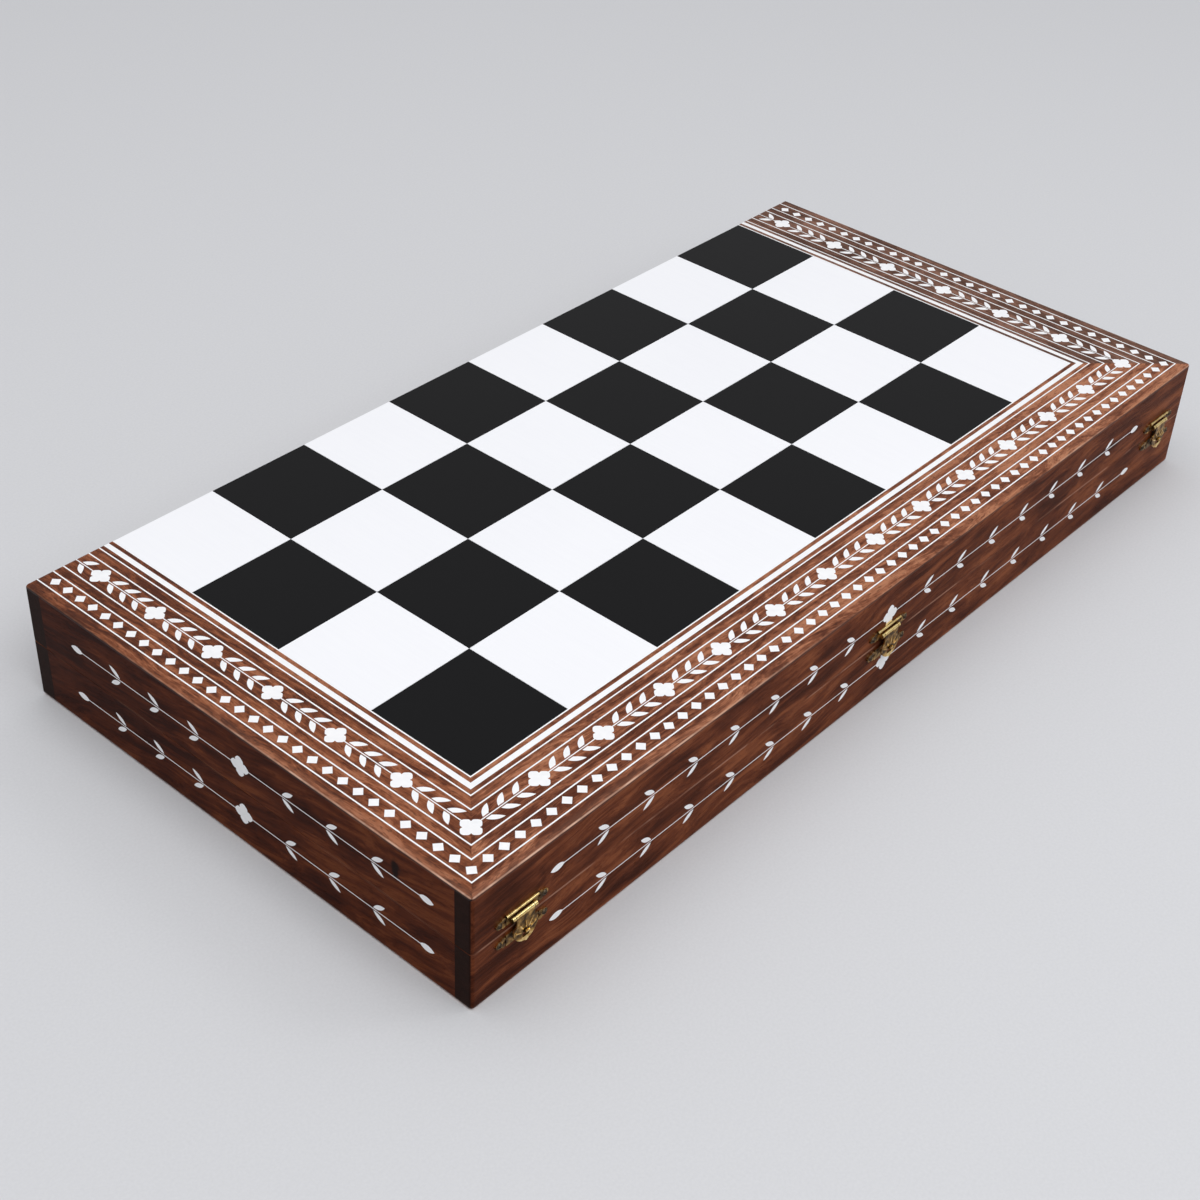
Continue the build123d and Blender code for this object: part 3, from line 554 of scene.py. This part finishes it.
def felt_material():
    """Green wool felt."""
    s = Shader("green felt")
    fuzz = s.speckle(2600, detail=4, roughness=0.7)
    tuft = s.speckle(380)
    share = s.blend((fuzz, 0.6), (tuft, 0.4))
    s.bump(share, strength=0.7, distance=0.3 * MM)
    return s.finish(
        Base_Color=s.mix(share, *FELT),
        Roughness=s.varied(0.85, fuzz, 0.15),
        Sheen_Weight=0.35,
        Sheen_Roughness=0.5,
    )


def dress(node, material):
    """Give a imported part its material."""
    slots = nodes[node].data.materials
    slots.clear()
    slots.append(material)


black_lacquer = lacquer("black square", BLACK_SQUARE, rough=0.30, gloss=0.16)
white_lacquer = lacquer("white square", WHITE_SQUARE, rough=0.42, gloss=0.25)
inlay = speckled(
    "white inlay", 420, INLAY, rough=(0.4, 0.1), relief=(0.1, 0.03 * MM), Specular_IOR_Level=0.3
)
steel = speckled(
    "blackened steel", 900, STEEL, rough=(0.3, 0.2), relief=(0.2, 0.05 * MM), Metallic=1.0
)
panel = panel_material()
brass = brass_material()
felt = felt_material()

for tray in trays:
    for side in shades["border"]:
        dress(f"{tray}_border_{side}", border_wood(tray, side))
    for side in shades["rail"]:
        rail = "rail" if side in LONG_SIDES else "end_rail"
        dress(f"{tray}_{side}_{rail}", rail_wood(tray, side))
    dress(f"{tray}_dark_squares", black_lacquer)
    dress(f"{tray}_light_squares", white_lacquer)
    dress(f"{tray}_panel", panel)
    dress(f"{tray}_hinge_screws", brass)
    dress(f"{tray}_latch_screws", steel)
    for piece in ("lines", "band", "diamonds", "flowers", "vine", "wall_vines"):
        dress(f"{tray}_{piece}", inlay)
for spot in ("left", "centre", "right"):
    for piece in ("base_leaf", "lid_leaf"):
        dress(f"hinge_{spot}_{piece}", brass)
    dress(f"hinge_{spot}_pin", steel)
    for piece in ("upper_plate", "lower_plate", "hasp", "pin"):
        dress(f"latch_{spot}_{piece}", brass)


# ---- felt linings --------------------------------------------------------------------
def pile_sag(column, row):
    """Where the pile lies between its full height, 0, and its lowest, 1: crossing waves."""
    return 0.5 + 0.5 * math.sin(1.7 * column + 0.9 * row) * math.sin(0.8 * column - 1.3 * row)


def felt_lining(tray, upwards):
    """Closed sheet of felt with a soft, slightly uneven pile; upwards is +1 or -1."""
    low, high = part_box(f"{tray}_lining")
    columns = round((high.x - low.x) / FELT_CELL)
    rows = round((high.y - low.y) / FELT_CELL)
    glued = low.z if upwards > 0 else high.z
    pile = (high.z - low.z) * upwards
    verts = []
    for layer in (0, 1):
        for row in range(rows + 1):
            for column in range(columns + 1):
                x = low.x + (high.x - low.x) * column / columns
                y = low.y + (high.y - low.y) * row / rows
                at_cut = column in (0, columns) or row in (0, rows)
                sag = FELT_EDGE if at_cut else FELT_SAG * pile_sag(column, row)
                verts.append((x, y, glued + layer * (pile - upwards * sag)))

    step = columns + 1
    top = step * (rows + 1)
    faces = []
    for row in range(rows):
        for column in range(columns):
            a = row * step + column
            faces.append((a, a + step, a + step + 1, a + 1))
            faces.append((top + a, top + a + 1, top + a + step + 1, top + a + step))
    ring = list(range(columns))
    ring += [row * step + columns for row in range(rows)]
    ring += [rows * step + column for column in range(columns, 0, -1)]
    ring += [row * step for row in range(rows, 0, -1)]
    for here, there in zip(ring, ring[1:] + ring[:1]):
        faces.append((here, there, top + there, top + here))
    if upwards < 0:
        faces = [face[::-1] for face in faces]

    mesh = bpy.data.meshes.new(f"{tray}_felt")
    mesh.from_pydata(verts, [], faces)
    mesh.polygons.foreach_set("use_smooth", [True] * len(mesh.polygons))
    cut = set(ring) | {top + index for index in ring}
    for edge in mesh.edges:        # sharp at the cut, so shading doesn't round over the pile
        edge.use_edge_sharp = all(index in cut for index in edge.vertices)
    mesh.materials.append(felt)
    piece = bpy.data.objects.new(f"{tray}_felt", mesh)
    bpy.context.scene.collection.objects.link(piece)
    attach(piece, tray)
    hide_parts(f"{tray}_lining")


felt_lining("base", 1)
felt_lining("lid", -1)


# ---- floor, light, camera ------------------------------------------------------------
def make_floor():
    """Pale plain floor."""
    material = speckled("pale floor", 900, FLOOR, rough=(0.85, 0.1), Specular_IOR_Level=0.1)
    z = cad_low.z - FLOOR_DROP
    signs = ((-1, -1), (1, -1), (1, 1), (-1, 1))
    mesh = bpy.data.meshes.new("floor")
    mesh.from_pydata([(x * FLOOR_HALF, y * FLOOR_HALF, z) for x, y in signs], [], [(0, 1, 2, 3)])
    mesh.materials.append(material)
    floor = bpy.data.objects.new("floor", mesh)
    bpy.context.scene.collection.objects.link(floor)


def make_lamp(name, place, target, size, power):
    light = bpy.data.lights.new(name, "AREA")
    light.shape = "RECTANGLE"
    light.size, light.size_y = size
    light.energy = power
    lamp = bpy.data.objects.new(name, light)
    lamp.location = place
    lamp.rotation_euler = (Vector(target) - Vector(place)).to_track_quat("-Z", "Y").to_euler()
    bpy.context.scene.collection.objects.link(lamp)


def make_world():
    """Soft studio: dim at the horizon, brighter overhead."""
    world = bpy.data.worlds.new("studio")
    world.use_nodes = True
    tree = world.node_tree
    coords = tree.nodes.new("ShaderNodeTexCoord")
    split = tree.nodes.new("ShaderNodeSeparateXYZ")
    ramp = tree.nodes.new("ShaderNodeValToRGB")
    tree.links.new(coords.outputs["Generated"], split.inputs[0])
    tree.links.new(split.outputs["Z"], ramp.inputs["Fac"])
    ramp.color_ramp.elements[0].color = HORIZON
    ramp.color_ramp.elements[1].color = ZENITH
    tree.links.new(ramp.outputs["Color"], tree.nodes["Background"].inputs["Color"])
    bpy.context.scene.world = world


def make_camera():
    """Camera fitted to the photograph's view of the box."""
    data = bpy.data.cameras.new("camera")
    data.sensor_width = CAMERA_SENSOR
    data.lens = CAMERA_LENS
    data.clip_start = CAMERA_NEAREST
    camera = bpy.data.objects.new("camera", data)
    camera.location = CAMERA_PLACE
    camera.rotation_euler = [math.radians(angle) for angle in CAMERA_TURN]
    bpy.context.scene.collection.objects.link(camera)
    bpy.context.scene.camera = camera


make_floor()
make_world()
for name, settings in lamps.items():
    make_lamp(name, *settings)
make_camera()
bpy.context.scene.view_settings.view_transform = "Standard"
